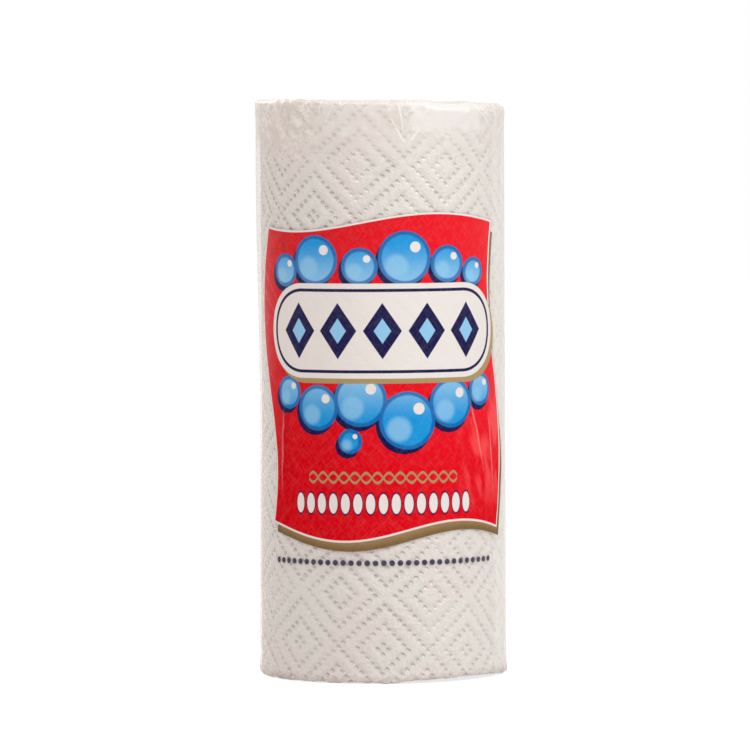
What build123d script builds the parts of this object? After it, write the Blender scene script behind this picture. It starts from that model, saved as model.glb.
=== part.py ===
from build123d import *
import os
from math import cos, degrees, radians, sin, tan

# A single paper towel roll in its clear film wrapper, standing on its end.
# All lengths are in millimetres. The origin is the centre of the base, +Z runs up the roll's
# axis, -Y is the front of the pack and +X is at the viewer's right.

# Driving sizes of the towel, one long two-ply sheet wound on the core
towel_width = 279.4
roll_diameter = 119.4
sheet_thickness = 0.6
roll_edge_radius = 2.5
tail_angle = 95.0

# Driving sizes of the embossing, whose dotted rings close in on staggered diamond centres
emboss_column_count = 17
emboss_column_step = 21.75
emboss_row_count = 10
emboss_row_step = 25.8
emboss_first_row = 17.1
emboss_lean = 2.6
pit_half_width = 4.4
pit_floor_half_width = 3.0
pit_depth = 0.5

# Driving sizes of the lines that the turns show on the cut ends
end_line_count = 2
end_line_width = 0.8
end_line_depth = 0.8
end_line_inner_margin = 3.0
end_line_outer_margin = 2.0

# Driving sizes of the card core
core_diameter = 43.0
core_wall = 0.6

# Driving sizes of the film wrapper
film_thickness = 0.2
film_slack = 0.3
shoulder_radius = 2.5
shoulder_flat_count = 3
film_bond = 0.1

# Driving sizes of the wrapper's back seam and of the loose fold beside the front
seam_width = 14.0
slack_fold_width = 6.0
slack_fold_height = 0.7
slack_fold_angle = -17.0

# Driving sizes of the two end flaps, folded in over the side tucks
flap_rim_angle = 52.0
flap_tip_half_width = 22.0
flap_overlap = 14.0
fold_line_width = 0.6

# Driving sizes of the pleats gathered at the flaps' corners
pleat_count = 3
pleat_fan_angle = 33.0
pleat_width = 3.4
pleat_height = 1.1
pleat_crest_share = 0.33
pleat_reach = 26.0
pleat_drop = 15.0
pleat_root = 4.0

# Places that follow from the driving sizes
quarter_turn = 90
quarters_per_turn = 4
full_turn = quarters_per_turn * quarter_turn
roll_radius = roll_diameter / 2
core_radius = core_diameter / 2
core_bore_radius = core_radius - core_wall
roll_base = film_thickness
roll_top = roll_base + towel_width
film_inner_radius = roll_radius + film_slack
film_radius = film_inner_radius + film_thickness
inner_shoulder_radius = shoulder_radius - film_thickness
film_top_inside = roll_top + film_slack
film_top = film_top_inside + film_thickness
flat_end_radius = film_radius - shoulder_radius
front_angle = -quarter_turn
rear_angle = quarter_turn
pleat_corner_angles = (
    front_angle - flap_rim_angle,
    front_angle + flap_rim_angle,
    rear_angle - flap_rim_angle,
    rear_angle + flap_rim_angle,
)


def polar(radius, angle):
    """The point at that radius and angle, in degrees from +X."""
    return (radius * cos(radians(angle)), radius * sin(radians(angle)))


def quarter_arcs(start_radius, pitch, quarters):
    """Centre, radius and start angle of each quarter arc of a spiral that grows by pitch a turn.

    Each arc's centre steps back along the last one's end radius, so that the arcs join smoothly.
    """
    growth = pitch / quarters_per_turn
    centre = Vector(growth / 2, growth / 2)
    radius = start_radius
    for quarter in range(quarters):
        yield centre, radius, quarter * quarter_turn
        centre = centre - growth * Vector(*polar(1, (quarter + 1) * quarter_turn))
        radius += growth


def draw_spiral(start_radius, pitch, quarters):
    """Draws the spiral in the current BuildLine and gives its first and last points."""
    arcs = [
        CenterArc(centre, radius, angle, quarter_turn)
        for centre, radius, angle in quarter_arcs(start_radius, pitch, quarters)
    ]
    return arcs[0] @ 0, arcs[-1] @ 1


def draw_spiral_band(start_radius, pitch, quarters, width):
    """Draws the closed outline of a spiral band of that width."""
    inner_start, inner_end = draw_spiral(start_radius, pitch, quarters)
    outer_start, outer_end = draw_spiral(start_radius + width, pitch, quarters)
    Line(inner_start, outer_start)
    Line(inner_end, outer_end)


def drum(radius, base, top, rim_radius, rim_flat_count):
    """A drum with both rims rounded off in flats, which keep its mesh light."""
    flat_angle = quarter_turn / rim_flat_count
    upper_rim = [
        (
            radius - rim_radius + rim_radius * sin(radians(number * flat_angle)),
            top - rim_radius + rim_radius * cos(radians(number * flat_angle)),
        )
        for number in range(rim_flat_count + 1)
    ]
    lower_rim = [(x, base + top - z) for x, z in reversed(upper_rim)]
    with BuildPart() as body:
        with BuildSketch(Plane.XZ):
            with BuildLine():
                Polyline((0, top), *upper_rim, *lower_rim, (0, base), close=True)
            make_face()
        revolve(axis=Axis.Z)
    return body.part


# Card core: a spiral-wound tube, cut off flush with the towel at both ends
with BuildPart() as core_tube:
    with BuildSketch(Plane.XY.offset(roll_base)):
        Circle(core_radius)
        Circle(core_bore_radius, mode=Mode.SUBTRACT)
    extrude(amount=towel_width)
core_tube.part.label = "core_tube"


# Towel: the turns wound into one body, with the sheet's free edge as a step down the outside
end_line_start = core_radius + end_line_inner_margin
end_line_room = roll_radius - roll_edge_radius - end_line_outer_margin - end_line_start
end_line_pitch = (end_line_room - end_line_width) / end_line_count

# Outer limit of the roll, with the soft edges of its cut ends
roll_limit = drum(roll_radius + sheet_thickness / 2, roll_base, roll_top, roll_edge_radius, 1)

# Pit in the roll's side facing +X, which stands for the middle ring of an embossed diamond
pit_slope = pit_half_width - pit_floor_half_width
with BuildPart() as emboss_pit:
    for rise, half_width in (
        (-pit_depth, pit_floor_half_width),
        (pit_depth, pit_half_width + pit_slope),
    ):
        with BuildSketch(Plane.YZ.offset(roll_radius + rise)):
            with BuildLine():
                Polyline(
                    (half_width, 0), (0, half_width), (-half_width, 0), (0, -half_width), close=True
                )
            make_face()
    loft(ruled=True)


def emboss_places():
    """Angle and height of each diamond centre, in a pattern that leans a little."""
    lean_slope = tan(radians(emboss_lean))
    for row in range(emboss_row_count):
        for column in range(emboss_column_count):
            if (row + column) % 2 == 0:
                across = (column - (emboss_column_count - 1) / 2) * emboss_column_step
                up = row * emboss_row_step
                turn = degrees((across + lean_slope * up) / roll_radius)
                yield front_angle + turn, emboss_first_row + up - lean_slope * across


def lap_depth(angle):
    """How far the wound outside lies within the roll's full radius there."""
    return sheet_thickness * (1 - (angle - tail_angle) % full_turn / full_turn)


with BuildPart() as towel_roll:
    lap_plane = Plane.XY.offset(roll_base - roll_edge_radius).rotated((0, 0, tail_angle))
    with BuildSketch(lap_plane):
        with BuildLine():
            lap_start, lap_end = draw_spiral(
                roll_radius - sheet_thickness, sheet_thickness, quarters_per_turn
            )
            Line(lap_end, lap_start)
        make_face()
        Circle(core_radius, mode=Mode.SUBTRACT)
    extrude(amount=towel_width + 2 * roll_edge_radius)
    add(roll_limit, mode=Mode.INTERSECT)
    add(
        [
            Pos(0, 0, roll_base + height)
            * Rot(0, 0, angle)
            * Pos(-lap_depth(angle), 0, 0)
            * emboss_pit.part
            for angle, height in emboss_places()
        ],
        mode=Mode.SUBTRACT,
    )
    for line_base in (roll_base, roll_top - end_line_depth):
        with BuildSketch(Plane.XY.offset(line_base)):
            with BuildLine():
                draw_spiral_band(
                    end_line_start,
                    end_line_pitch,
                    end_line_count * quarters_per_turn,
                    end_line_width,
                )
            make_face()
        extrude(amount=end_line_depth, mode=Mode.SUBTRACT)
towel_roll.part.label = "towel_roll"


# Space inside the film, which holds the roll with a little slack
roll_space = drum(film_inner_radius, film_thickness, film_top_inside, inner_shoulder_radius, 1)


def draw_pleat(height, shoulder, reach_sink):
    """Outline of a top pleat in its radial plane: X is outwards from the roll's axis."""
    Polyline(
        (film_radius - pleat_reach, film_top - film_bond),
        (film_radius - shoulder, film_top + height),
        (film_radius + height, film_top - shoulder),
        (film_radius - reach_sink, film_top - pleat_drop),
        (film_radius - pleat_root, film_top - pleat_root),
        close=True,
    )


def pleat_solid(draw_outline):
    """A crease that rises from the film to a sharp ridge in the middle of its width."""
    crest_shoulder = shoulder_radius * pleat_crest_share
    with BuildPart() as pleat:
        for side in (-1, 0, 1):
            crest = side == 0
            with BuildSketch(Plane.XZ.offset(side * pleat_width / 2)):
                with BuildLine():
                    draw_outline(
                        pleat_height if crest else -film_bond,
                        crest_shoulder if crest else shoulder_radius,
                        film_bond,
                    )
                make_face()
        loft(ruled=True)
    return pleat.part


def draw_base_pleat(height, shoulder, reach_sink):
    """Outline of a base pleat, which the pack's weight has pressed flat underneath."""
    foot = max(-height, 0)
    Polyline(
        (film_radius - shoulder - pleat_root, film_bond),
        (film_radius - shoulder, foot),
        (film_radius + height, shoulder),
        (film_radius - reach_sink, pleat_drop),
        (film_radius - pleat_root, pleat_root + shoulder_radius),
        close=True,
    )


def flap_corners(overlap_side):
    """Corners of an end flap, from beyond the rim to its tip past the centre. 1 is the front."""
    rim_left = polar(film_radius, front_angle - flap_rim_angle)
    rim_right = polar(film_radius, front_angle + flap_rim_angle)
    return [
        (rim_left[0], overlap_side * rim_left[1]),
        (-flap_tip_half_width, overlap_side * flap_overlap),
        (flap_tip_half_width, overlap_side * flap_overlap),
        (rim_right[0], overlap_side * rim_right[1]),
        (0, -overlap_side * film_radius / cos(radians(flap_rim_angle))),
    ]


# Film wrapper: a clear tube with a lapped back seam, its ends folded in and sealed shut
top_pleat = pleat_solid(draw_pleat)
base_pleat = pleat_solid(draw_base_pleat)
pleat_step = pleat_fan_angle / pleat_count
straight_wall = film_top - shoulder_radius - shoulder_radius
with BuildPart() as film_wrap:
    add(drum(film_radius, 0, film_top, shoulder_radius, shoulder_flat_count))

    # Back seam, where one edge of the film laps the other
    with BuildSketch(Plane.XY.offset(shoulder_radius)):
        Circle(film_radius + film_thickness)
        with Locations((0, film_radius)):
            Rectangle(seam_width, film_radius, mode=Mode.INTERSECT)
    extrude(amount=straight_wall)

    # Loose fold, a standing crease that takes up the film's slack
    with BuildSketch(Plane.XY.offset(shoulder_radius)):
        half_angle = degrees(slack_fold_width / film_radius) / 2
        with BuildLine():
            Polyline(
                (0, 0),
                polar(film_radius - film_bond, slack_fold_angle - half_angle),
                polar(film_radius + slack_fold_height, slack_fold_angle),
                polar(film_radius - film_bond, slack_fold_angle + half_angle),
                close=True,
            )
        make_face()
    extrude(amount=straight_wall)

    # Rear flap, and the front flap that laps over it
    for overlap_side, layers in ((-1, 1), (1, 2)):
        with BuildSketch(Plane.XY.offset(film_top - film_bond)):
            Polygon(*flap_corners(overlap_side), align=None)
            Circle(flat_end_radius, mode=Mode.INTERSECT)
        extrude(amount=film_bond + layers * film_thickness)

    # Pleats fanned about the corners where the flaps were folded
    for corner_angle in pleat_corner_angles:
        for number in range(pleat_count):
            fan_place = number - (pleat_count - 1) / 2
            turned = Rot(0, 0, corner_angle + fan_place * pleat_step)
            add(turned * top_pleat)
            add(turned * base_pleat)

    add(roll_space, mode=Mode.SUBTRACT)

    # Fold lines pressed into the base, along the edges of its two flaps
    for overlap_side in (-1, 1):
        with BuildSketch():
            Polygon(*flap_corners(overlap_side), align=None)
            offset(amount=-fold_line_width, mode=Mode.SUBTRACT)
            Circle(flat_end_radius, mode=Mode.INTERSECT)
        extrude(amount=film_thickness / 2, mode=Mode.SUBTRACT)
film_wrap.part.label = "film_wrap"


os.makedirs("parts", exist_ok=True)
for piece in (core_tube, towel_roll, film_wrap):
    export_step(piece.part, f"parts/{piece.part.label}.step")
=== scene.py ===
"""A single roll of embossed paper towel in its printed clear film wrapper."""
import math

import bpy
import numpy as np
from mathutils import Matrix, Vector


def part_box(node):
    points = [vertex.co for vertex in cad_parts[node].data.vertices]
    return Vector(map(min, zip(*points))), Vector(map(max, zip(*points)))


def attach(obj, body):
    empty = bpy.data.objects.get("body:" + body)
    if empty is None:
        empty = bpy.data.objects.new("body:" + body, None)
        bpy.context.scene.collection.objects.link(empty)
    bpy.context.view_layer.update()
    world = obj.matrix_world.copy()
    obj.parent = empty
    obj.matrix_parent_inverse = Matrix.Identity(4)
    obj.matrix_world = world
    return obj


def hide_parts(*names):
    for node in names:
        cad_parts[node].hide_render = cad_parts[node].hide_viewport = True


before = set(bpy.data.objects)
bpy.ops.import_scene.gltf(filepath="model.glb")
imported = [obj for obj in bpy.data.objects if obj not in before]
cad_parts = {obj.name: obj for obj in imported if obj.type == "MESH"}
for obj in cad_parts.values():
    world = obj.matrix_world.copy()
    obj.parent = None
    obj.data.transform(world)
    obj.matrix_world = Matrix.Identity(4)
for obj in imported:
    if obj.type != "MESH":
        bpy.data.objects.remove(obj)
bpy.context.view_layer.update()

MM = 0.001
FULL_TURN = 2 * math.pi
QUARTER_TURN = math.pi / 2

# Sizes that the frame gives
film_low, film_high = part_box("film_wrap")
towel_low, towel_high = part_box("towel_roll")
core_low, core_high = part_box("core_tube")
towel_base, towel_top = towel_low.z, towel_high.z
towel_width = towel_top - towel_base
core_radius = (core_high.x - core_low.x) / 2

# The film lies this far outside the towel, and this far above it
film_radius = (film_high.x - film_low.x) / 2 - 0.1 * MM
towel_radius = film_radius - 0.4 * MM
film_base = 0.05 * MM
film_top = towel_top + 0.35 * MM

# The wound sheet: each turn climbs by the sheet's thickness, up to its free edge at the back
sheet_thickness = 0.6 * MM
turn_pitch = 0.57 * MM
towel_rim_size = 3.4 * MM
base_squareness = 10
tail_angle = math.radians(185)

# Where the roll swells at the viewer's left towards its base, and the film stands off at the top
bulge_angle, bulge_spread = math.radians(-88), math.radians(38)
top_bulge, base_bulge = 1.4 * MM, 0.9 * MM

# The embossing: dots on the crossings of a leaning grid, in rings about staggered centres
dot_step_across = 2.5 * MM
dot_step_up = 2.344 * MM
emboss_lean = math.tan(math.radians(2.78))
emboss_origin_across = -0.6 * MM
emboss_origin_up = 16.6 * MM
cell_dots_across = 18
cell_dots_up = 22
ring_spacing_dots = 4
pit_depth = 0.32 * MM
furrow_depth = 0.2 * MM

# How far each dot dents the points beside it, as steps of half a dot across and up, and a share
dot_spread = (((0, 1), 0.45), ((1, 0), 0.65), ((1, 1), 0.15), ((1, -1), 0.35))

# How far the lower rim is off the ground at the front right, and lower the top is at the right
rim_lift, rim_raggedness = 1.4 * MM, 0.3 * MM
top_drop = 1.4 * MM

# The cut ends: depth of the line between turns, their unevenness and sinking, and columns
turn_groove, end_unevenness, end_sink = 0.22 * MM, 0.18 * MM, 0.05 * MM
end_columns = 64


def srgb(red, green, blue):
    """The linear colour for a screen colour of 0 to 255 a channel."""
    shares = [channel / 255 for channel in (red, green, blue)]
    return [s / 12.92 if s <= 0.04045 else ((s + 0.055) / 1.055) ** 2.4 for s in shares]


def in_metres(*rows):
    """Rows of lengths in millimetres as rows in metres."""
    return [[value * MM for value in row] for row in rows]


# Shapes and meshes


def mesh_piece(name, points, faces, smooth_angle=None):
    """A piece on the root body from arrays, without doubled points and empty or doubled faces."""
    rounded = np.round(points / (0.002 * MM)).astype(np.int64)
    _, first, joined = np.unique(rounded, axis=0, return_index=True, return_inverse=True)
    points, faces = points[first], joined.reshape(-1)[faces]
    corners, known = [], set()
    for face in faces.tolist():
        loop = [corner for place, corner in enumerate(face) if corner != face[place - 1]]
        if len(loop) > 2 and len(set(loop)) == len(loop) and frozenset(loop) not in known:
            known.add(frozenset(loop))
            corners.append(loop)
    mesh = bpy.data.meshes.new(name)
    mesh.from_pydata(points.tolist(), [], corners)
    mesh.validate()
    mesh.polygons.foreach_set("use_smooth", [True] * len(mesh.polygons))
    if smooth_angle is not None:
        mesh.set_sharp_from_angle(angle=smooth_angle)
    piece = bpy.data.objects.new(name, mesh)
    bpy.context.scene.collection.objects.link(piece)
    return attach(piece, "root")


def grid_faces(columns, rows, wrap=False):
    """Faces of a grid of points kept column by column, facing outwards."""
    last = columns if wrap else columns - 1
    column, row = np.meshgrid(np.arange(last), np.arange(rows - 1), indexing="ij")
    here = column * rows + row
    beside = (column + 1) % columns * rows + row
    return np.stack([here, beside, beside + 1, here + 1], axis=-1).reshape(-1, 4)


def round_points(angle, radius, height):
    """Points at angles from the front, positive to the viewer's right."""
    return np.stack([radius * np.sin(angle), -radius * np.cos(angle), height], axis=-1)


def soft_step(value, low, high):
    """0 below low, 1 above high and a smooth climb between, or the other way for high < low."""
    share = np.clip((value - low) / (high - low), 0, 1)
    return share * share * (3 - 2 * share)


def wrapped(value, half_range):
    """The value carried by whole periods into -half_range to half_range."""
    return (value + half_range) % (2 * half_range) - half_range


def waves(points, size, seed, count=14):
    """Smooth noise from -1 to 1: waves in seeded directions, about size from crest to crest."""
    dice = np.random.default_rng(seed)
    total = np.zeros(points.shape[:-1])
    for _ in range(count):
        direction = dice.normal(size=3)
        direction *= dice.uniform(0.6, 1.5) / size / np.linalg.norm(direction)
        total += np.sin(FULL_TURN * (points @ direction + dice.uniform()))
    return total / math.sqrt(count * 2)


def settled(points):
    """The points with the lower rim a little up from the ground and the top lower at the right."""
    x, y, height = points[..., 0], points[..., 1], points[..., 2]
    angle, radius = np.arctan2(x, -y), np.hypot(x, y)
    across = angle * film_radius
    ground = round_points(angle, film_radius, 0 * angle)
    lift = rim_lift * soft_step(across, 0, 32 * MM) * soft_step(across, 85 * MM, 56 * MM)
    for size, seed in ((16 * MM, 51), (6 * MM, 52)):
        lift = lift + rim_raggedness * (1 + waves(ground, size, seed))
    lift = lift * soft_step(radius, film_radius - 34 * MM, film_radius - 1 * MM)
    drop = top_drop * soft_step(x, 17 * MM, 32 * MM)
    near_top = soft_step(height, towel_top - 30 * MM, towel_top)
    height = height + lift * soft_step(height, 16 * MM, 0) - drop * near_top
    return np.stack([x, y, height], axis=-1)


def swell(angle, up):
    """How far the roll swells at the viewer's left, towards its base."""
    beside = np.exp(-(((wrapped(angle, math.pi) - bulge_angle) / bulge_spread) ** 2))
    return base_bulge * beside * soft_step(up, 150 * MM, 40 * MM)


def rim_squareness(angle):
    """How square the top rim's corner is: sharp at the viewer's left and round at the right."""
    return 1.9 + 4.1 * soft_step(-np.sin(angle), -0.7, 0.5)


def rim_profile(share, squareness):
    """How far out and how far along a rim's corner is, each from 0 to 1, from side to end."""
    turn = QUARTER_TURN * share
    return np.cos(turn) ** (2 / squareness), np.sin(turn) ** (2 / squareness)


# The wound towel


def emboss_rings(dots_across, dots_up):
    """Distance along the grid from the nearest main centre, in dots."""
    across = np.abs(wrapped(dots_across, cell_dots_across / 2))
    up = np.abs(wrapped(dots_up, cell_dots_up / 2))
    return across + up


def steps_past(low, high, step):
    """Whole numbers of steps that reach past both ends of a stretch, for the grid's lean."""
    spill = 12 * MM
    return np.arange(math.floor((low - spill) / step), math.ceil((high + spill) / step) + 1)


def towel_side():
    """Columns of points of the wound side, from the sheet's start to its free edge."""
    tail_across = tail_angle * towel_radius
    start_across = (tail_angle - FULL_TURN) * towel_radius
    low_up = towel_rim_size - emboss_origin_up
    high_up = towel_width - towel_rim_size - emboss_origin_up
    step_across, step_up = dot_step_across / 2, dot_step_up / 2
    columns = steps_past(start_across, tail_across, step_across)
    rows = steps_past(low_up, high_up, step_up)
    column, row = np.meshgrid(columns, rows, indexing="ij")

    # Dots lie on whole steps of the grid, one in two each way, where a ring passes
    ring = emboss_rings(column / 2, row / 2)
    on_ring = np.abs(wrapped(ring - 1, ring_spacing_dots / 2)) < 0.1
    dots = ((column % 2 == 0) & (row % 2 == 0) & on_ring).astype(float)
    depth = dots.copy()
    for shift, share in dot_spread:
        depth += share * np.roll(dots, shift, axis=(0, 1))
        depth += share * np.roll(dots, (-shift[0], -shift[1]), axis=(0, 1))
    furrow = (1 + np.cos(FULL_TURN * (ring - 1) / ring_spacing_dots)) / 2

    # The leaning grid, cut off straight at the sheet's edges
    across = column * step_across + emboss_origin_across
    up = row * step_up
    across = np.clip(across, start_across - emboss_lean * up, tail_across - emboss_lean * up)
    up = np.clip(up, low_up + emboss_lean * across, high_up + emboss_lean * across)
    sheet_across = np.clip(across + emboss_lean * up, start_across, tail_across)
    sheet_up = np.clip(up - emboss_lean * across, low_up, high_up) + emboss_origin_up

    edge = np.minimum(sheet_across - start_across, tail_across - sheet_across)
    edge = np.minimum(edge, sheet_up - towel_rim_size)
    edge = np.minimum(edge, towel_width - towel_rim_size - sheet_up)
    inside = soft_step(edge, 0, 1 * MM)
    angle = sheet_across / towel_radius
    turned = (angle - tail_angle) / FULL_TURN
    radius = towel_radius + sheet_thickness * turned
    soft = waves(round_points(angle, radius, sheet_up), 45 * MM, 3) * 0.08 * MM
    radius = radius - inside * (pit_depth * depth + furrow_depth * furrow - soft)
    radius = radius + swell(angle, sheet_up)
    return angle, radius, towel_base + sheet_up


def towel_rims(angle, radius, height):
    """The side's points with the rounded rims of both cut ends added to each column."""
    share = np.linspace(0, 1, 7)[1:]
    parts = []
    for end, direction in ((0, -1), (-1, 1)):
        ring_angle = np.repeat(angle[:, end, None], len(share), axis=1)
        squareness = 0 * ring_angle + base_squareness
        if direction > 0:
            squareness = rim_squareness(ring_angle)
        out, along = rim_profile(share, squareness)
        ring_radius = radius[:, end, None] - towel_rim_size * (1 - out)
        ring_height = height[:, end, None] + direction * towel_rim_size * along
        if direction < 0:
            ring_radius, ring_height = ring_radius[:, ::-1], ring_height[:, ::-1]
        parts.append((ring_angle, ring_radius, ring_height))
    low, high = parts
    return [np.concatenate(rows, axis=1) for rows in zip(low, (angle, radius, height), high)]


def towel_end(height, up):
    """The turns' edges on one cut end, as a ridged spiral from the core out to the rim."""
    rim = towel_radius - towel_rim_size - 0.1 * MM
    rings = 2 * math.ceil((rim - core_radius) / turn_pitch) + 2
    column, ring = np.meshgrid(np.arange(end_columns + 1), np.arange(-2, rings), indexing="ij")
    angle = FULL_TURN * column / end_columns
    radius = core_radius + turn_pitch * (ring / 2 + column / end_columns)
    radius = np.clip(radius, core_radius, rim)
    flat = round_points(angle, radius, np.full(angle.shape, height))
    layers = waves(flat, 9 * MM, 5) * end_unevenness + (ring % 2) * turn_groove
    flat[..., 2] -= up * (layers + end_sink)
    faces = grid_faces(end_columns + 1, ring.shape[1])
    return flat.reshape(-1, 3), faces if up < 0 else faces[:, ::-1]


def make_towel():
    """The wound towel, which replaces the plain CAD roll."""
    angle, radius, height = towel_rims(*towel_side())
    columns, rows = angle.shape
    shells = [(round_points(angle, radius, height).reshape(-1, 3), grid_faces(columns, rows))]

    # The free edge of the sheet: a narrow wall between the last column and the first
    edge_points = round_points(angle[[-1, 0]], radius[[-1, 0]], height[[-1, 0]]).reshape(-1, 3)
    shells.append((edge_points, grid_faces(2, rows)))

    for end_height, up in ((towel_base, -1), (towel_top, 1)):
        shells.append(towel_end(end_height, up))

    bore_angle = np.linspace(0, FULL_TURN, end_columns + 1)[:, None].repeat(2, axis=1)
    bore_height = np.broadcast_to([towel_top, towel_base], bore_angle.shape)
    bore = round_points(bore_angle, np.full(bore_angle.shape, core_radius), bore_height)
    shells.append((bore.reshape(-1, 3), grid_faces(end_columns + 1, 2)))

    points, faces, start = [], [], 0
    for shell_points, shell_faces in shells:
        points.append(shell_points)
        faces.append(shell_faces + start)
        start += len(shell_points)
    points = settled(np.concatenate(points))
    towel = mesh_piece("towel_sheets", points, np.concatenate(faces), 0.9)
    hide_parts("towel_roll")
    return towel


# The film wrapper

# Columns round the film, and the rows of its stretches from the base's middle to the top's
film_columns = 264
film_stretches = (("base", 42), ("base_rim", 6), ("side", 190), ("top_rim", 6), ("top", 42))
film_rim_size = 4.2 * MM

# Fold corners of the wrapped ends, as angles from the front
corner_turn = math.radians(52)
fold_corners = (-corner_turn, corner_turn, math.pi - corner_turn, math.pi + corner_turn)
flap_rim_half_width = film_radius * math.sin(corner_turn)
flap_rim_depth = film_radius * math.cos(corner_turn)
flap_tip_half_width = 22 * MM
flap_overlap = 14 * MM

# Pleats from each fold corner: place along the rim from the corner, slant, reach, height
corner_pleats = (
    (-13 * MM, -0.35, 16 * MM, 0.35 * MM),
    (-7 * MM, -0.22, 24 * MM, 0.5 * MM),
    (-1 * MM, 0.05, 20 * MM, 0.65 * MM),
    (5 * MM, 0.2, 27 * MM, 0.5 * MM),
    (11 * MM, 0.42, 15 * MM, 0.4 * MM),
)

# Single creases in the side as seen in the photograph: ends across and up, width and height, in mm
side_creases = in_metres(
    (-37, 281, -33, 275, 2.4, 0.6),
    (-24, 279, -31, 262, 3, 0.25),
    (8, 281, 11, 262, 2.2, 0.7),
    (3, 274, 13, 257, 2.2, 0.45),
    (19, 268, 11, 258, 2.2, 0.45),
    (50, 280, 63, 267, 1.8, 0.8),
    (80, 278, 73, 262, 1.8, 0.5),
    (77, 276, 77, 212, 2.2, 0.5),
    (-55, 135, -57, 86, 4, 0.35),
    (46, 138, 58, 96, 2.6, 0.4),
    (60, 132, 66, 84, 2.6, 0.4),
    (-80, 22, -60, 3, 2.4, 0.5),
    (-88, 30, -78, 6, 2.2, 0.5),
    (70, 3, 84, 18, 2.2, 0.4),
)

# The loose standing fold beside the front, and the lapped seam at the back
slack_angle = math.radians(73)
slack_sway, slack_period = 1.2 * MM, 170 * MM
slack_half_width = 3 * MM
slack_height = 0.7 * MM
seam_half_width = 7 * MM
seam_height = 0.2 * MM
seam_edge_width = 0.8 * MM

# The crumpled patch at the upper left: its middle and half width, and where it starts and is full
patch_middle, patch_half_width = -46 * MM, 26 * MM
patch_start, patch_full = 252 * MM, 276 * MM

# Coarse and fine crumpling of the patch and the rims: height, size from fold to fold and seed
patch_crumples = ((0.5 * MM, 15 * MM, 21), (0.3 * MM, 7 * MM, 23))
rim_crumples = ((0.4 * MM, 17 * MM, 22), (0.25 * MM, 8 * MM, 24))

# Folds over the ends from each fold corner: turn from the way to the middle, and height
end_folds = ((-0.32, 0.4 * MM), (-0.12, 0.6 * MM), (0.1, 0.5 * MM), (0.34, 0.45 * MM))
end_fold_length, end_fold_half_width = 38 * MM, 1.8 * MM
pleat_half_width = 1.9 * MM
rear_flap_height, front_flap_height = 0.2 * MM, 0.3 * MM


def ridge(distance, half_width):
    """A sharp-topped fold, 1 at its ridge and 0 from half_width away."""
    share = np.clip(1 - np.abs(distance) / half_width, 0, 1)
    return share**1.3


def crease(across, up, start_across, start_up, end_across, end_up, half_width, height):
    """The height that a straight crease between two points adds, fading towards its ends."""
    run_across, run_up = end_across - start_across, end_up - start_up
    length = math.hypot(run_across, run_up)
    along = ((across - start_across) * run_across + (up - start_up) * run_up) / length
    aside = ((up - start_up) * run_across - (across - start_across) * run_up) / length
    fade = soft_step(along, -0.15 * length, 0.2 * length) * soft_step(length - along, 0, length / 2)
    return height * ridge(aside, half_width) * fade


def crumpled(points, size, seed):
    """Crumpled film: sharp ridges round smooth hollows, from about -0.5 to 1."""
    return np.clip(1 - 2.6 * np.abs(waves(points, size, seed)), -0.5, 1)


def crumples(points, sizes):
    """The height of several sizes of crumpling together."""
    return sum(height * crumpled(points, size, seed) for height, size, seed in sizes)


def film_side_height(across, up, points):
    """How far the film stands off its plain cylinder."""
    height = waves(points * (1, 1, 0.35), 42 * MM, 11) * 0.13 * MM
    height += waves(points, 12 * MM, 12) * 0.04 * MM
    for one in side_creases:
        height += crease(across, up, *one)

    # Crumpled patch at the upper left, and the slacker rims of both ends
    patch = np.exp(-(((across - patch_middle) / patch_half_width) ** 2))
    patch = patch * soft_step(up, patch_start, patch_full)
    height += patch * crumples(points, patch_crumples)
    rims = soft_step(np.abs(up - towel_width / 2), towel_width / 2 - 16 * MM, towel_width / 2)
    height += rims * crumples(points, rim_crumples)

    beside = np.exp(-(((across / film_radius - bulge_angle) / bulge_spread) ** 2))
    height += top_bulge * beside * soft_step(up, 120 * MM, 255 * MM)
    height += swell(across / film_radius, up)

    slack_across = slack_angle * film_radius + slack_sway * np.sin(FULL_TURN * up / slack_period)
    height += slack_height * ridge(across - slack_across, slack_half_width)
    behind = math.pi * film_radius - np.abs(across)
    seam = soft_step(-behind, -seam_half_width, -seam_half_width + seam_edge_width)
    return np.maximum(height, -0.15 * MM) + seam_height * seam


def pleat_height(across, inward):
    """Height of the pleats about the fold corners. inward is the way in from the rim."""
    height = np.zeros(across.shape)
    for corner_number, corner in enumerate(fold_corners):
        side = 1 if corner_number % 2 else -1
        for place, slant, reach, rise in corner_pleats:
            middle = corner * film_radius + side * (place + slant * np.abs(inward))
            aside = wrapped(across - middle, math.pi * film_radius)
            fade = 1 - soft_step(np.abs(inward), reach * 0.25, reach)
            height += rise * ridge(aside, pleat_half_width) * fade
    return height


def flap_cover(x, y, side):
    """1 under an end flap and 0 beside it. side is 1 for the front one and -1 for the rear."""
    reach_share = (y * side + flap_rim_depth) / (flap_overlap + flap_rim_depth)
    narrowing = flap_rim_half_width - flap_tip_half_width
    half_width = flap_rim_half_width - narrowing * np.clip(reach_share, 0, 1)
    inside = np.minimum(half_width - np.abs(x), flap_overlap - y * side)
    return soft_step(inside, -0.5 * MM, 0.5 * MM)


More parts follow.
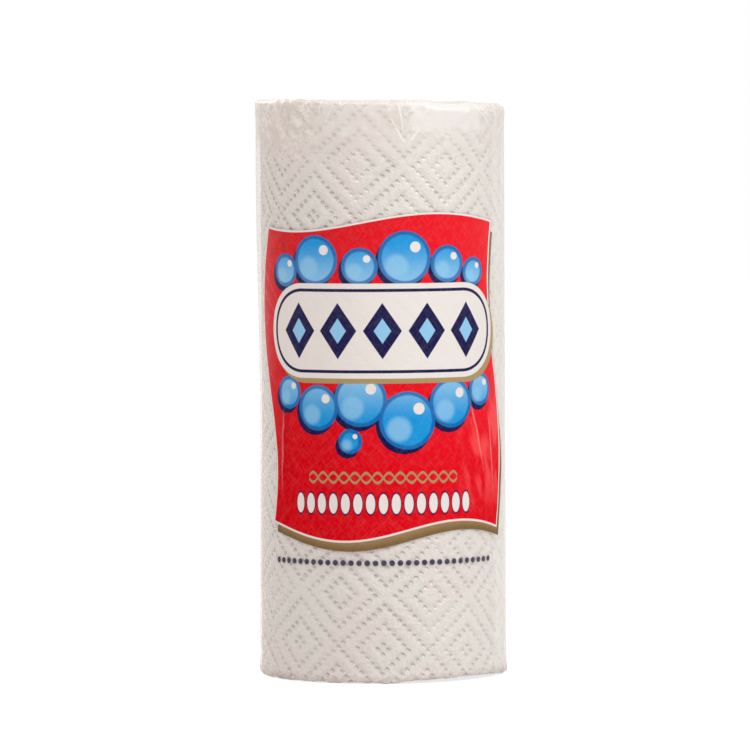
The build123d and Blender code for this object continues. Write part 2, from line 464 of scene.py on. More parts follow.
def film_end_height(x, y, seed):
    """Layers and wrinkles of a folded end, over its flat disc."""
    points = np.stack([x, y, np.full(x.shape, seed * 1.0)], axis=-1)
    rear, front = flap_cover(x, y, -1), flap_cover(x, y, 1)
    height = rear_flap_height * rear + front_flap_height * front
    loose = 1 - 0.7 * rear * front
    height += 0.35 * MM * loose * crumpled(points, 21 * MM, seed)
    height += 0.12 * MM * waves(points, 9 * MM, seed + 1)
    for corner in fold_corners:
        corner_x, corner_y = film_radius * math.sin(corner), -film_radius * math.cos(corner)
        for turn, rise in end_folds:
            heading = math.atan2(-corner_y, -corner_x) + turn
            end_x = corner_x + end_fold_length * math.cos(heading)
            end_y = corner_y + end_fold_length * math.sin(heading)
            ends = (corner_x, corner_y, end_x, end_y)
            height += crease(x, y, *ends, end_fold_half_width, rise)
    return height


def film_meridian():
    """The film's rows, each a share along one of its stretches."""
    rows = []
    for stretch, count in film_stretches:
        rows += [(stretch, share) for share in np.linspace(0, 1, count, endpoint=False)]
    return rows + [("top", 1)]


def film_row(stretch, share, angle):
    """One row's plain radius and height, the way it faces, and its way in from the rim."""
    flat = np.ones(angle.shape)
    edge = film_radius - film_rim_size
    if stretch == "base":
        return flat * edge * share, film_base * flat, 0 * flat, -flat, edge * (1 - share)
    if stretch == "side":
        low, high = film_base + film_rim_size, film_top - film_rim_size
        height = low + (high - low) * share
        return film_radius * flat, height * flat, flat, 0 * flat, min(height - low, high - height)
    if stretch == "top":
        return flat * edge * (1 - share), film_top * flat, 0 * flat, flat, edge * share

    if stretch == "base_rim":
        out, along = rim_profile(1 - share, base_squareness * flat)
        height = film_base + film_rim_size * (1 - along)
        turn, direction = QUARTER_TURN * (1 - share), -1
    else:
        out, along = rim_profile(share, rim_squareness(angle))
        height = film_top - film_rim_size * (1 - along)
        turn, direction = QUARTER_TURN * share, 1
    outward, upward = math.cos(turn) * flat, direction * math.sin(turn) * flat
    return edge + film_rim_size * out, height, outward, upward, 0


def make_film():
    """The film wrapper as one thin sheet round the roll, which replaces the CAD's plain film."""
    angle = FULL_TURN * np.arange(film_columns) / film_columns
    angle = wrapped(angle, math.pi)
    across = angle * film_radius
    columns = []
    for stretch, share in film_meridian():
        radius, height, outward, upward, inward = film_row(stretch, share, angle)
        inward = inward + 0 * angle
        points = round_points(angle, radius, height)
        if stretch in ("base", "top"):
            seed = 31 if stretch == "base" else 41
            rise = film_end_height(points[:, 0], points[:, 1], seed)
            rise *= soft_step(inward, 0, 4 * MM)
        else:
            rise = film_side_height(across, height, points)
        rise = rise + pleat_height(across, inward)
        if stretch.startswith("base"):
            # The pack's weight presses the folds of the base flat
            rise = rise * np.where(upward < 0, 1 + 0.98 * upward, 1)
        columns.append(round_points(angle, radius + outward * rise, height + upward * rise))
    points = np.stack(columns, axis=1)
    faces = grid_faces(film_columns, points.shape[1], wrap=True)
    film = mesh_piece("film_sheet", settled(points.reshape(-1, 3)), faces)
    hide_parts("film_wrap")
    return film


# Shader helpers and materials


class Number:
    """A number in a shader, which the usual signs work on by adding math nodes."""

    def __init__(self, tree, socket):
        self.tree, self.socket = tree, socket

    def math(self, operation, *others):
        node = self.tree.nodes.new("ShaderNodeMath")
        node.operation = operation
        for place, value in enumerate((self, *others)):
            plug(self.tree, node.inputs[place], value)
        return Number(self.tree, node.outputs[0])

    def __add__(self, other):
        return self.math("ADD", other)

    def __sub__(self, other):
        return self.math("SUBTRACT", other)

    def __mul__(self, other):
        return self.math("MULTIPLY", other)

    def __truediv__(self, other):
        return self.math("DIVIDE", other)

    def __neg__(self):
        return self.math("MULTIPLY", -1)

    def size(self):
        return self.math("ABSOLUTE")

    def sine(self):
        return self.math("SINE")

    def least(self, other):
        return self.math("MINIMUM", other)

    def most(self, other):
        return self.math("MAXIMUM", other)

    def wrapped(self, half_range):
        return self.math("WRAP", half_range, -half_range)

    def soft_step(self, low, high):
        """The same as the soft_step for arrays."""
        node = self.tree.nodes.new("ShaderNodeMapRange")
        node.interpolation_type = "SMOOTHSTEP"
        rising = high > low
        for place, value in enumerate((self, min(low, high), max(low, high))):
            plug(self.tree, node.inputs[place], value)
        node.inputs["To Min"].default_value = 0 if rising else 1
        node.inputs["To Max"].default_value = 1 if rising else 0
        return Number(self.tree, node.outputs["Result"])

    def inside(self, edge=0.2 * MM):
        """1 where the number is above 0 and 0 where it is below, with a soft edge between."""
        return self.soft_step(-edge, edge)

    def rest(self):
        """What is left of 1."""
        return -self + 1


def plug(tree, socket, value):
    """Links a number or a socket, or sets a plain value."""
    if isinstance(value, Number):
        tree.links.new(value.socket, socket)
    elif isinstance(value, bpy.types.NodeSocket):
        tree.links.new(value, socket)
    else:
        socket.default_value = value


def new_material(name):
    """An empty node material and its output's surface socket."""
    material = bpy.data.materials.new(name)
    material.use_nodes = True
    material.node_tree.nodes.clear()
    output = material.node_tree.nodes.new("ShaderNodeOutputMaterial")
    return material, material.node_tree, output.inputs["Surface"]


def shader(tree, kind, **values):
    """A shader or texture node with its sockets set by name."""
    node = tree.nodes.new(kind)
    for name, value in values.items():
        plug(tree, node.inputs[name.replace("_", " ")], value)
    return node


def layered(tree, colour, *layers):
    """A colour with others laid over it in turn, each with its share from 0 to 1."""
    for share, over in layers:
        node = tree.nodes.new("ShaderNodeMix")
        node.data_type = "RGBA"
        plug(tree, node.inputs["Factor"], share)
        for socket, one in ((node.inputs[6], colour), (node.inputs[7], over)):
            plug(tree, socket, (*one, 1) if isinstance(one, (list, tuple)) else one)
        colour = node.outputs[2]
    return colour


def mixed_shader(tree, share, low, high):
    """One surface where share is 0 and the other where it is 1."""
    node = tree.nodes.new("ShaderNodeMixShader")
    for socket, value in zip(node.inputs, (share, low, high)):
        plug(tree, socket, value)
    return node.outputs[0]


def surface_of(tree, kind="Principled", **values):
    """The surface that a shader node gives, with its sockets set by name."""
    return shader(tree, "ShaderNodeBsdf" + kind, **values).outputs[0]


def noise(tree, vector, scale, detail=3, roughness=0.5):
    """Fractal noise from 0 to 1."""
    values = {"Vector": vector, "Scale": scale, "Detail": detail, "Roughness": roughness}
    return Number(tree, shader(tree, "ShaderNodeTexNoise", **values).outputs["Fac"])


def bumped(tree, height_in_mm):
    """A normal from a height in millimetres."""
    node = shader(tree, "ShaderNodeBump", Height=height_in_mm, Distance=MM, Strength=1)
    return node.outputs["Normal"]


def turned_away(tree, normal):
    """0 where a surface is seen square on and 1 where it is seen edge on."""
    facing = shader(tree, "ShaderNodeLayerWeight", Blend=0.5, Normal=normal)
    return Number(tree, facing.outputs["Facing"])


def span(across, up):
    """The distance that two lengths at right angles make together."""
    return (across * across + up * up).math("SQRT")


def object_place(tree):
    """A place on the object, its way round from the front, height, radius, x and y."""
    place = tree.nodes.new("ShaderNodeTexCoord").outputs["Object"]
    parts = shader(tree, "ShaderNodeSeparateXYZ", Vector=place)
    x, y, z = (Number(tree, socket) for socket in parts.outputs)
    across = x.math("ARCTAN2", -y) * film_radius
    return place, across, z, span(x, y), x, y


def emboss_marks(across, up, radius):
    """The ring furrows, the dots and the dots' lower lips on the embossed side, from 0 to 1."""
    on_side = radius.soft_step(film_radius - 4 * MM, film_radius - 2 * MM)
    rise = up - (towel_base + emboss_origin_up)
    shift = across - emboss_origin_across
    dots_across = (shift - rise * emboss_lean) / dot_step_across
    dots_up = (rise + shift * emboss_lean) / dot_step_up
    off_across, off_up = dots_across.wrapped(0.5), dots_up.wrapped(0.5)
    furrow = ring_offset(dots_across, dots_up).soft_step(1.5, 0.1)
    on_ring = ring_offset(dots_across - off_across, dots_up - off_up).soft_step(0.6, 0.4)
    on_ring = on_ring * on_side

    # Each dot is an oval that slants down to the right, with a lip at its lower left that the
    # tissue colours as a painted highlight
    slanted = off_across + off_up * 0.4
    dot = span(slanted * 0.74, off_up - 0.05).soft_step(0.46, 0.03)
    dot = dot * off_across.size().soft_step(0.5, 0.4)
    lit_lip = span((slanted + 0.15) * 0.62, (off_up + 0.3) * 1.4).soft_step(0.28, 0.05)
    return furrow * on_side, dot * on_ring, lit_lip * on_ring


def ring_offset(dots_across, dots_up):
    """How far a place is, in dots, from the nearest ring of dots."""
    across = dots_across.wrapped(cell_dots_across / 2).size()
    up = dots_up.wrapped(cell_dots_up / 2).size()
    return (across + up - 1).wrapped(ring_spacing_dots / 2).size()


TISSUE, WARM_TISSUE = srgb(235, 233, 227), srgb(237, 229, 225)
TISSUE_CRUMB, TISSUE_PIT_SHADE = srgb(196, 188, 180), srgb(176, 166, 158)
TISSUE_LIP_HIGHLIGHT, TURN_GAP_SHADE = srgb(255, 253, 251), srgb(168, 160, 152)


def towel_material():
    """Soft creped tissue, with greyer painted shade in its embossed dots and painted highlights on
    their lips.
    """
    material, tree, surface = new_material("embossed_tissue")
    place, across, up, radius, _, _ = object_place(tree)
    furrow, dot, lit_lip = emboss_marks(across, up, radius)
    stretched = shader(tree, "ShaderNodeVectorMath", Vector=place)
    stretched.operation = "MULTIPLY"
    stretched.inputs[1].default_value = (1, 1, 2.6)
    crepe = noise(tree, stretched.outputs[0], 1100, 4, 0.65)
    mottle = noise(tree, place, 90, 3)
    crumb = noise(tree, place, 430, 2)
    tone = noise(tree, place, 32, 2).soft_step(0.4, 0.6)

    # The turns show as fine lines on the cut ends, with painted shade in the gaps between them
    turns = (radius - across * (turn_pitch / (FULL_TURN * film_radius))) / turn_pitch
    gap = turns.wrapped(0.5).size().soft_step(0.3, 0.5)
    on_end = radius.soft_step(film_radius - 3.5 * MM, film_radius - 5 * MM)
    colour = layered(
        tree,
        WARM_TISSUE,
        (tone, TISSUE),
        (crumb.soft_step(0.55, 0.2) * 0.12, TISSUE_CRUMB),
        # painted shade down in the embossed dots
        (dot * 0.15, TISSUE_PIT_SHADE),
        # painted highlight on each dot's lower-left lip, as if lit from the upper right
        (lit_lip, TISSUE_LIP_HIGHLIGHT),
        (gap * on_end * 0.3, TURN_GAP_SHADE),
    )
    uneven = noise(tree, place, 55, 2).soft_step(0.3, 0.65) * 0.8 + 0.5
    relief = crepe * 0.14 + mottle * 0.2 + crumb * 0.9 - gap * on_end * 0.12
    pressed = across.soft_step(20 * MM, -35 * MM) * 0.4 + 0.8
    relief = relief - (dot * 0.85 + furrow * 0.3 - lit_lip * 0.2) * uneven * pressed
    gloss = {"Roughness": 0.92, "Specular_IOR_Level": 0.15, "Sheen_Weight": 0.15}
    tissue = surface_of(tree, Base_Color=colour, Normal=bumped(tree, relief), **gloss)
    tree.links.new(tissue, surface)
    return material


CARD, LIGHT_CARD = srgb(142, 108, 74), srgb(180, 146, 108)
CARD_BLOTCH, CARD_SEAM = srgb(160, 134, 104), srgb(98, 78, 58)
card_lead = 95 * MM


def card_material():
    """Grey-brown card wound in a steep spiral, with a butt line between its turns."""
    material, tree, surface = new_material("core_card")
    place, across, up, _, _, _ = object_place(tree)
    turn_share = across / (FULL_TURN * film_radius)
    seam = (up / card_lead - turn_share).wrapped(0.5).size().soft_step(0.02, 0.006)
    fibre = noise(tree, place, 700, 5, 0.7)
    blotch = noise(tree, place, 60, 3)
    light, blotched = fibre.soft_step(0.3, 0.7), blotch.soft_step(0.35, 0.75) * 0.4
    layers = ((light, LIGHT_CARD), (blotched, CARD_BLOTCH), (seam * 0.6, CARD_SEAM))
    colour = layered(tree, CARD, *layers)
    normal = bumped(tree, fibre * 0.1 - seam * 0.15)
    gloss = {"Roughness": 0.85, "Specular_IOR_Level": 0.25}
    card = surface_of(tree, Base_Color=colour, Normal=normal, **gloss)
    tree.links.new(card, surface)
    return material


# The print on the film

# The red field, and its edges' waves: a place where each crosses its middle, period and height
field_top, field_base = 221.5 * MM, 74 * MM
field_left, field_right = -67.5 * MM, 66.5 * MM
top_wave = (-10 * MM, 146 * MM, 4.3 * MM)
base_wave = (9.5 * MM, 118 * MM, 4.8 * MM)
left_wave = (140 * MM, 155 * MM, 7 * MM)
right_wave = (150 * MM, 170 * MM, 6 * MM)
keyline_width = 1 * MM
band_drop, band_aside, band_shading = 5.2 * MM, 2.4 * MM, 5 * MM

# The blank plaque, level across the field: half width, half height and corner, and its lines
plaque_height = 170 * MM
plaque_size = (62 * MM, 21 * MM, 20 * MM)
under_edge_drop, under_edge_width, rim_width = 2.6 * MM, 1.6 * MM, 1.8 * MM
navy_line_inset, navy_line_half_width = 1.5 * MM, 0.9 * MM
lozenge_step, row_half_length = 22 * MM, 55 * MM
lozenge_half_width, lozenge_half_height = 9.4 * MM, 13.5 * MM

# Blue drops above and below the plaque: place across, place up and radius, in mm
drops = in_metres(
    (-53, 199, 8),
    (-34, 204, 12),
    (-11, 201, 9),
    (11, 205, 13),
    (33, 202, 9),
    (49, 198, 7),
    (-51, 140, 8),
    (-33, 133, 11),
    (-11, 137, 13),
    (12, 127, 14),
    (35, 135, 12),
    (54, 141, 8),
    (-16, 117, 6),
)
drop_shadow_across, drop_shadow_up = -1.5 * MM, -2.2 * MM
drop_rim_width = 2.4 * MM

# The gold braid, the row of white petals and the dotted border under them
braid_height, braid_step, braid_sway = 99.5 * MM, 11 * MM, 2.4 * MM
braid_half_length, strand_half_width = 38 * MM, 0.65 * MM
petals_height, petal_step, petal_count = 87 * MM, 6.2 * MM, 15
petal_half_width, petal_half_height = 0.36 * petal_step, 4.8 * MM
border_height, border_step, border_half_length = 58.5 * MM, 4 * MM, 62 * MM
bead_radius = 1.6 * MM

RED = srgb(240, 12, 34)
DARK_RED = srgb(216, 4, 22)
SHADED_RED = srgb(184, 0, 22)
HIGHLIGHT_RED = srgb(255, 84, 88)
WHITE = srgb(236, 230, 226)
GOLD = srgb(172, 148, 104)
BRONZE = srgb(128, 100, 62)
NAVY = srgb(22, 18, 74)
BLUE = srgb(24, 152, 222)
DEEP_BLUE = srgb(12, 92, 168)
PALE_BLUE = srgb(146, 202, 238)


def wave(value, middle, period, height):
    """A wave that is 0 and rising at middle."""
    return ((value - middle) * (FULL_TURN / period)).sine() * height


def field_depth(across, up):
    """How far inside the waved red field a place is."""
    above = wave(across, *top_wave) + field_top - up
    below = up - (wave(across, *base_wave) + field_base)
    left = across - (-wave(up, *left_wave) + field_left)
    right = -wave(up, *right_wave) + field_right - across
    return above.least(below).least(left).least(right)


def rounded_depth(across, up, half_width, half_height, corner):
    """How far inside a level plaque with rounded ends a place is."""
    beyond_across = (across.size() - (half_width - corner)).most(0)
    beyond_up = (up.size() - (half_height - corner)).most(0)
    return -span(beyond_across, beyond_up) + corner


def drops_depth(tree, across, up, size_share=1, shift_share=0):
    """How far inside the nearest drop a place is, or inside a smaller spot on it."""
    joined = shader(tree, "ShaderNodeCombineXYZ", X=across, Y=up)
    nearest = None
    for place_across, place_up, radius in drops:
        gap = shader(tree, "ShaderNodeVectorMath", Vector=joined.outputs[0])
        gap.operation = "DISTANCE"
        shift = radius * shift_share
        gap.inputs[1].default_value = (place_across + shift, place_up + shift, 0)
        depth = -Number(tree, gap.outputs["Value"]) + radius * size_share
        nearest = depth if nearest is None else nearest.most(depth)
    return nearest


def painted_drops(tree, colour, in_field, across, up):
    """The colour with blue drops over it, each with a shadow, a dark rim and a pale spot."""
    shadow = drops_depth(tree, across - drop_shadow_across, up - drop_shadow_up)
    drop = drops_depth(tree, across, up)
    from_plaque = (up - plaque_height).size()
    rim = drop.soft_step(drop_rim_width, drop_rim_width - 1 * MM)
    glow = drops_depth(tree, across, up, 0.42, -0.3).inside(1.5 * MM)
    spot = drops_depth(tree, across, up, 0.2, 0.4).inside()
    blues = layered(
        tree,
        PALE_BLUE,
        (from_plaque.soft_step(18 * MM, 44 * MM), BLUE),
        (rim * 0.8, DEEP_BLUE),
        (glow * 0.7, PALE_BLUE),
        (spot, WHITE),
    )
    shadow_share, drop_share = shadow.inside() * in_field, drop.inside() * in_field
    return layered(tree, colour, (shadow_share, NAVY), (drop_share, blues))


def painted_plaque(tree, colour, across, level):
    """The colour with the plaque over it, and the plaque's cover from 0 to 1."""
    under = rounded_depth(across - band_aside, level + under_edge_drop, *plaque_size)
    plaque = rounded_depth(across, level, *plaque_size)
    in_under = (under + under_edge_width).inside()
    in_rim = (plaque + rim_width).inside()
    from_line = (plaque - navy_line_inset).size()
    navy_line = (from_line - navy_line_half_width).soft_step(0, -0.3 * MM)
    in_row = across.size().soft_step(row_half_length, row_half_length - 0.2 * MM)
    aside = across.wrapped(lozenge_step / 2).size() / lozenge_half_width
    lozenge = (aside + level.size() / lozenge_half_height) * -1 + 1
    colour = layered(
        tree,
        colour,
        (in_under, GOLD),
        (in_rim, WHITE),
        (navy_line, NAVY),
        (lozenge.inside(0.02) * in_row, NAVY),
        (lozenge.soft_step(0.53, 0.57) * in_row, PALE_BLUE),
    )
    return colour, in_under.most(in_rim)


def gold_braid_depth(across, level):
    """How far inside a braid of two crossing waved strands a place is."""
    strand = wave(across, 0, braid_step, braid_sway)
    nearest = (level - strand).size().least((level + strand).size())
    return (-nearest + strand_half_width).least(-across.size() + braid_half_length)


def petals_depth(across, level):
    """How far inside a row of upright petals a place is, as a share of a petal."""
    aside = across.wrapped(petal_step / 2) / petal_half_width
    reach = level / petal_half_height
    petal = -(aside * aside + reach * reach) + 1
    return petal.least((-across.size() + petal_count / 2 * petal_step) / MM)


def red_facet_highlights(tree, across, up):
    """Painted highlights on facets where the printed film is crumpled at the lower right, from 0 to
    1.
    """
    fan = shader(tree, "ShaderNodeCombineXYZ", X=across + up * 0.25, Y=up * 0.3)
    facets = noise(tree, fan.outputs[0], 170, 2, 0.4).soft_step(0.4, 0.62)
    region = across.soft_step(34 * MM, 52 * MM) * up.soft_step(146 * MM, 128 * MM)
    return facets * region * up.soft_step(76 * MM, 100 * MM)


def red_colour(tree, across, up):
    """The red of the field, darker towards the foot, with painted shade at the left and down a
    fold, and painted light at the right.
    """
    fold_shade = (across + up * 0.01 + 52 * MM).size().soft_step(2.6 * MM, 1.2 * MM)
    return layered(
        tree,
        DARK_RED,
        # painted shade at the left and painted light at the right
        (across.soft_step(-60 * MM, 60 * MM), RED),
        (fold_shade * 0.4, SHADED_RED),
        (up.soft_step(135 * MM, 80 * MM) * 0.5, DARK_RED),
        (red_facet_highlights(tree, across, up) * 0.7, HIGHLIGHT_RED),
    )


def printed(tree, across, up):
    """The print's colour, and its cover from 0, bare film, to 1."""
    field = field_depth(across, up)
    band = field_depth(across - band_aside, up + band_drop)
    in_field, in_keyline, in_band = field.inside(), (field + keyline_width).inside(), band.inside()
    colour = layered(
        tree,
        BRONZE,
        ((band / band_shading).soft_step(0, 1) * 0.6, GOLD),
        (in_keyline, WHITE),
        (in_field, red_colour(tree, across, up)),
    )
    colour = painted_drops(tree, colour, in_field, across, up)
    colour, on_plaque = painted_plaque(tree, colour, across, up - plaque_height)

    # A gold braid and a row of white petals in the lower field, and the border under the band
    braid = gold_braid_depth(across, up - braid_height)
    petals = petals_depth(across, up - petals_height)
    bead = span(across.wrapped(border_step / 2), up - border_height)
    border_end = across.size().soft_step(border_half_length, border_half_length - 0.1 * MM)
    in_border = bead.soft_step(bead_radius, bead_radius - 0.4 * MM) * border_end
    colour = layered(
        tree,
        colour,
        (braid.inside(0.15 * MM), GOLD),
        (petals.soft_step(-0.55, -0.35) * 0.85, NAVY),
        (petals.inside(0.1), WHITE),
        (in_border, NAVY),
    )
    return colour, in_keyline.most(in_band).most(on_plaque).most(in_border * 0.85)


def film_folds(tree, place, x, y, across, up, radius):
    """Hairlines where the film is sharply folded or has an edge, from 0 to 1, whitened partly as
    creased film and partly as painted highlights.
    """
    warp = noise(tree, place, 120, 2) * (2.4 * MM) - 1.2 * MM
    total = None
    for start_across, start_up, end_across, end_up, _, height in side_creases:
        run_across, run_up = end_across - start_across, end_up - start_up
        length = math.hypot(run_across, run_up)
        share_across, share_up = run_across / length, run_up / length
        from_across, from_up = across - start_across + warp, up - start_up - warp
        aside = from_up * share_across - from_across * share_up
        along = from_across * share_across + from_up * share_up
        line = aside.size().soft_step(0.9 * MM, 0.1 * MM) * min(1, height / (0.6 * MM))
        line = line * along.soft_step(0, length * 0.25) * along.soft_step(length, length * 0.5)
        total = line if total is None else total.most(line)

    # A net of short wrinkles along the top rim, and the edges of the flaps and the back seam
    net = (noise(tree, place, 120, 2) - 0.5).size().soft_step(0.045, 0.005)
    net = net * noise(tree, place, 170, 1).soft_step(0.4, 0.55)
    top_rim = up.soft_step(film_top - 9 * MM, film_top - 3 * MM)
    top_rim = top_rim * radius.soft_step(film_radius - 12 * MM, film_radius - 4 * MM)
    front, rear = (flap.size().soft_step(0.8 * MM, 0.2 * MM) for flap in flap_depths(x, y))
    on_end = radius.soft_step(film_radius - 3 * MM, film_radius - 5 * MM)
    seam_edge = seam_depth(across).size().soft_step(0.5 * MM, 0.15 * MM)
    edges = (front.most(rear) * on_end * 0.45).most(seam_edge * on_end.rest() * 0.5)
    return total.most(net * top_rim * 0.7).most(edges)


def flap_depths(x, y):
    """How far inside the front flap and the rear flap of an end a place is."""
    depths = []
    for side in (1, -1):
        reach = y * side
        share = ((reach + flap_rim_depth) / (flap_overlap + flap_rim_depth)).most(0).least(1)
        half_width = share * (flap_tip_half_width - flap_rim_half_width) + flap_rim_half_width
        depths.append((half_width - x.size()).least(-reach + flap_overlap))
    return depths


def seam_depth(across):
    """How far inside the lapped seam down the back a place is."""
    return across.size() - (math.pi * film_radius - seam_half_width)


def film_haze(tree, place, x, y, across, up, radius):
    """How milky the film is, how far that hides the embossing, and how blotched it is."""
    on_side = radius.soft_step(film_radius - 9 * MM, film_radius - 4 * MM)
    drift = noise(tree, place, 60, 4, 0.6) * (16 * MM) - 8 * MM
    patches = noise(tree, place, 55, 3).soft_step(0.4, 0.75)

    # The smooth lap at the upper right, the loose fold beside it and the hazy band at the top
    lap = (up + drift - (film_top - 15 * MM)).inside(3 * MM)
    lap = lap * (across + drift).soft_step(8 * MM, 18 * MM) * across.soft_step(64 * MM, 52 * MM)
    wobble = wave(up, 0, slack_period, slack_sway) + slack_angle * film_radius
    slack = (across - wobble).soft_step(-0.4 * MM, 0.8 * MM) * up.soft_step(60 * MM, 200 * MM)
    slack = slack * across.soft_step(100 * MM, 92 * MM)
    top_band = (up + drift * 0.5).soft_step(film_top - 34 * MM, film_top - 12 * MM) * on_side
    beside = across.soft_step(-76 * MM, -84 * MM) * across.soft_step(-116 * MM, -108 * MM)
    side_haze = (lap * 0.9).most(slack * 0.75).most(beside * 0.12)
    side_haze = side_haze.most(top_band * (patches * 0.35 + 0.45))
    right = across.soft_step(115 * MM, 95 * MM)
    side_haze = side_haze.most(across.soft_step(5 * MM, 50 * MM) * right * 0.18)
    side_haze = side_haze.most(across.soft_step(60 * MM, 70 * MM) * right * 0.7)

    # Yellowish-white blotches where the film is crumpled at the upper left
    crumple = noise(tree, place, 230, 3, 0.6).soft_step(0.46, 0.56)
    patch = across.soft_step(-30 * MM, -38 * MM) * across.soft_step(-92 * MM, -80 * MM)
    patch = patch * (up + drift * 2).soft_step(film_top - 30 * MM, film_top - 14 * MM)
    side_haze = side_haze.most(patch * (crumple * 0.25 + 0.7))

    # The folded ends are whiter where their flaps lie over each other, and so is the back seam
    front, rear = flap_depths(x, y)
    layers = front.inside() + rear.inside()
    end_haze = layers * 0.08 + patches * 0.08 + 0.04
    seam = seam_depth(across).inside() * 0.22
    haze = (side_haze * on_side).most(end_haze * on_side.rest()).most(seam * on_side)
    hiding = (lap * 0.95).most(top_band * 0.6).most(patch * 0.5)
    wisps = noise(tree, place, 150, 4, 0.65).soft_step(0.42, 0.6)
    blotch = (patch * crumple.rest()).most(top_band * lap.rest() * wisps.rest() * 0.5)
    return haze * 0.9 + 0.1, hiding, blotch


def hatching(tree, across, up):
    """Fine faint strokes in two slanting directions, from 0 to 1."""
    strokes = None
    for slant in (0.8, -0.9):
        along, aside = (up + across * slant) * 0.22, across - up * slant
        grid = shader(tree, "ShaderNodeCombineXYZ", X=along, Y=aside)
        stroke = noise(tree, grid.outputs[0], 700, 2).soft_step(0.45, 0.7)
        strokes = stroke if strokes is None else strokes.most(stroke)
    return strokes


MILK, BLOTCHED_MILK = srgb(255, 251, 247), srgb(238, 227, 217)
BASE_SHADE_BROWN = srgb(150, 104, 84)
LIT_THROUGH = (*srgb(250, 248, 248), 1)
CLEAR = (0.985, 0.98, 0.975, 1)


def film_material():
    """Clear glossy film, milky where it is folded over itself, with the print as ink on it."""
    material, tree, surface = new_material("printed_film")
    place, across, up, radius, x, y = object_place(tree)
    colour, cover = printed(tree, across, up)
    furrow, dot, _ = emboss_marks(across, up, radius)
    folds = film_folds(tree, place, x, y, across, up, radius)
    haze, hiding, blotch = film_haze(tree, place, x, y, across, up, radius)
    furrow, dot = furrow * hiding.rest(), dot * hiding.rest()

    # The lower rim is painted brown where it is bunched: painted shade near the floor
    bunched = noise(tree, place, 200, 4, 0.7).soft_step(0.25, 0.75)
    base_shade = up.soft_step(7 * MM, 2 * MM) * bunched

    fine = noise(tree, place, 140, 2)
    creased = fine * 0.12 + folds * 0.15
    normal = bumped(tree, creased - furrow * 0.06 - dot * 0.3)
    ink_normal = bumped(tree, creased - furrow * 0.04 - dot * 0.05)
    clear = surface_of(tree, "Transparent", Color=CLEAR)
    on_rim = (up - film_top / 2).size().soft_step(film_top / 2 - 5 * MM, film_top / 2 - 1 * MM)
    rough = dot * 0.3 + on_rim * 0.2 + 0.15
    gloss = surface_of(tree, "Glossy", Roughness=rough, Normal=normal)
    away = turned_away(tree, normal)
    mirrored = away.math("POWER", 5) * 0.6 + 0.06
    bare = mixed_shader(tree, mirrored, clear, gloss)
    milk_colour = layered(tree, MILK, (blotch, BLOTCHED_MILK), (base_shade, BASE_SHADE_BROWN))
    milk = surface_of(tree, Base_Color=milk_colour, Roughness=0.3, Normal=normal)
    through = surface_of(tree, "Translucent", Color=LIT_THROUGH, Normal=normal)
    milky = mixed_shader(tree, 0.35, milk, through)

    # The haze grows where the film is seen edge on, because one looks through more of it
    haze = haze.most(away.math("POWER", 6) * 0.7)
    bare = mixed_shader(tree, haze.most(base_shade * 0.85), bare, milky)

    # Ink: faint lighter marks over the embossing under it, and faint lighter hatching
    mottle = noise(tree, place, 240, 3)
    paler_marks = (furrow * 0.5 + dot * 0.5) * mottle.soft_step(0.35, 0.7) * 0.02
    paler_marks = paler_marks + hatching(tree, across, up) * 0.022
    ink = surface_of(
        tree,
        Base_Color=layered(tree, colour, (paler_marks, WHITE)),
        Roughness=0.16,
        Specular_IOR_Level=up.soft_step(90 * MM, 215 * MM) * 0.12,
        Normal=ink_normal,
    )
    sheet = mixed_shader(tree, cover, bare, ink)
    # Folds and edges turn milk-white: partly the film's whiter creases, partly painted highlights
    # standing in for glints
    fold_highlight = folds * (-cover * 0.6 + 0.85)
    tree.links.new(mixed_shader(tree, fold_highlight, sheet, milk), surface)
    return material


# Floor, world, lamps and camera

floor_half_width = 6
floor_grey, floor_glow = srgb(216, 216, 216), 0.72
ambient_light, ambient_tint = 0.59, (1, 0.88, 0.84)
roll_middle, roll_head = (0, 0, 140 * MM), (0, 0, film_top)
COOL_LIGHT, WARM_LIGHT, PLAIN_LIGHT = (0.87, 0.95, 0.955), (1, 0.97, 0.95), (1, 0.98, 0.97)

# Lamps: name, place, aim, width, height, power and colour
lamps = (
    ("overhead", (0.15, -0.85, 1.35), roll_middle, 1.6, 0.3, 6.6, COOL_LIGHT),
    ("side", (1.74, -0.88, 1.6), roll_middle, 0.6, 0.6, 19.5, COOL_LIGHT),
    ("corner", (-0.35, -0.6, 0.72), roll_head, 0.25, 0.25, 1, PLAIN_LIGHT),
    ("back", (-1.5, 2.1, 1.5), roll_middle, 1.2, 1.2, 22, WARM_LIGHT),
)

# The photograph's camera: far off, level with the top of the roll, tipped down at it
camera_place = (-2.9 * MM, -2.75, film_top)
camera_lens, camera_sensor = 269.8, 36
camera_tilt, camera_roll = math.radians(2.787), math.radians(0.35)


def seen_share(tree):
    """1 where a surface is seen, mirrored or seen through, and 0 where it only gives light."""
    rays = tree.nodes.new("ShaderNodeLightPath")
    seen = Number(tree, rays.outputs["Is Camera Ray"])
    for name in ("Is Glossy Ray", "Is Transmission Ray"):
        seen = seen.most(rays.outputs[name])
    return seen


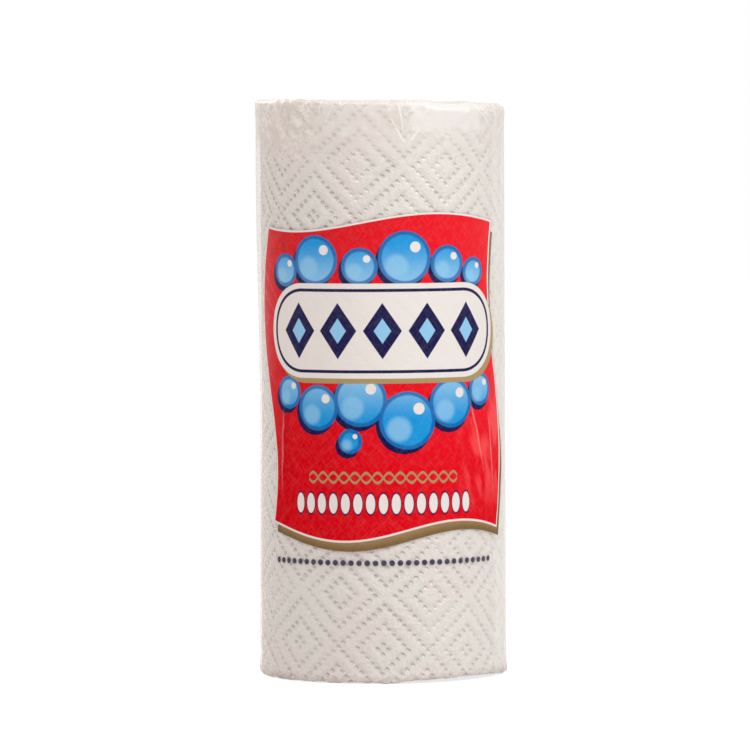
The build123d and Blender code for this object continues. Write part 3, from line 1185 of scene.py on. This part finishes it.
def make_floor():
    """A pale floor that keeps the shadow and shows as white behind the object."""
    half = floor_half_width
    mesh = bpy.data.meshes.new("floor")
    corners = [(-half, -half, 0), (half, -half, 0), (half, half, 0), (-half, half, 0)]
    mesh.from_pydata(corners, [], [(0, 1, 2, 3)])
    floor = bpy.data.objects.new("floor", mesh)
    bpy.context.scene.collection.objects.link(floor)
    material, tree, surface = new_material("pale_floor")
    plain = surface_of(tree, "Diffuse", Color=(*floor_grey, 1))
    strength = seen_share(tree) * floor_glow
    glow = shader(tree, "ShaderNodeEmission", Color=(1, 1, 1, 1), Strength=strength)
    both = tree.nodes.new("ShaderNodeAddShader")
    tree.links.new(plain, both.inputs[0])
    tree.links.new(glow.outputs[0], both.inputs[1])
    tree.links.new(both.outputs[0], surface)
    mesh.materials.append(material)


def make_world():
    """White where it is seen, mirrored or seen through, and a plain even light elsewhere."""
    world = bpy.data.worlds.new("studio")
    bpy.context.scene.world = world
    world.use_nodes = True
    tree = world.node_tree
    seen = seen_share(tree)
    background = tree.nodes["Background"]
    strength = seen * (1 - ambient_light) + ambient_light
    plug(tree, background.inputs["Color"], layered(tree, ambient_tint, (seen, (1, 1, 1))))
    plug(tree, background.inputs["Strength"], strength)


def make_light(name, place, aim, width, height, power, colour):
    """A soft rectangular lamp that faces the aim."""
    lamp = bpy.data.lights.new(name, "AREA")
    lamp.shape = "RECTANGLE"
    lamp.size, lamp.size_y = width, height
    lamp.energy = power
    lamp.color = colour
    holder = bpy.data.objects.new(name, lamp)
    holder.location = place
    way = Vector(aim) - Vector(place)
    holder.rotation_euler = way.to_track_quat("-Z", "Y").to_euler()
    bpy.context.scene.collection.objects.link(holder)


def make_camera():
    """The camera that the picture is taken with."""
    data = bpy.data.cameras.new("camera")
    data.sensor_width = camera_sensor
    data.lens = camera_lens
    data.clip_end = 100
    camera = bpy.data.objects.new("camera", data)
    camera.location = camera_place
    camera.rotation_euler = (QUARTER_TURN - camera_tilt, camera_roll, 0)
    bpy.context.scene.collection.objects.link(camera)
    bpy.context.scene.camera = camera


towel = make_towel()
towel.data.materials.append(towel_material())
film = make_film()
film.data.materials.append(film_material())
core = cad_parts["core_tube"]
core.data.materials.clear()
core.data.materials.append(card_material())

make_floor()
make_world()
for lamp in lamps:
    make_light(*lamp)
make_camera()
bpy.context.scene.view_settings.view_transform = "Standard"
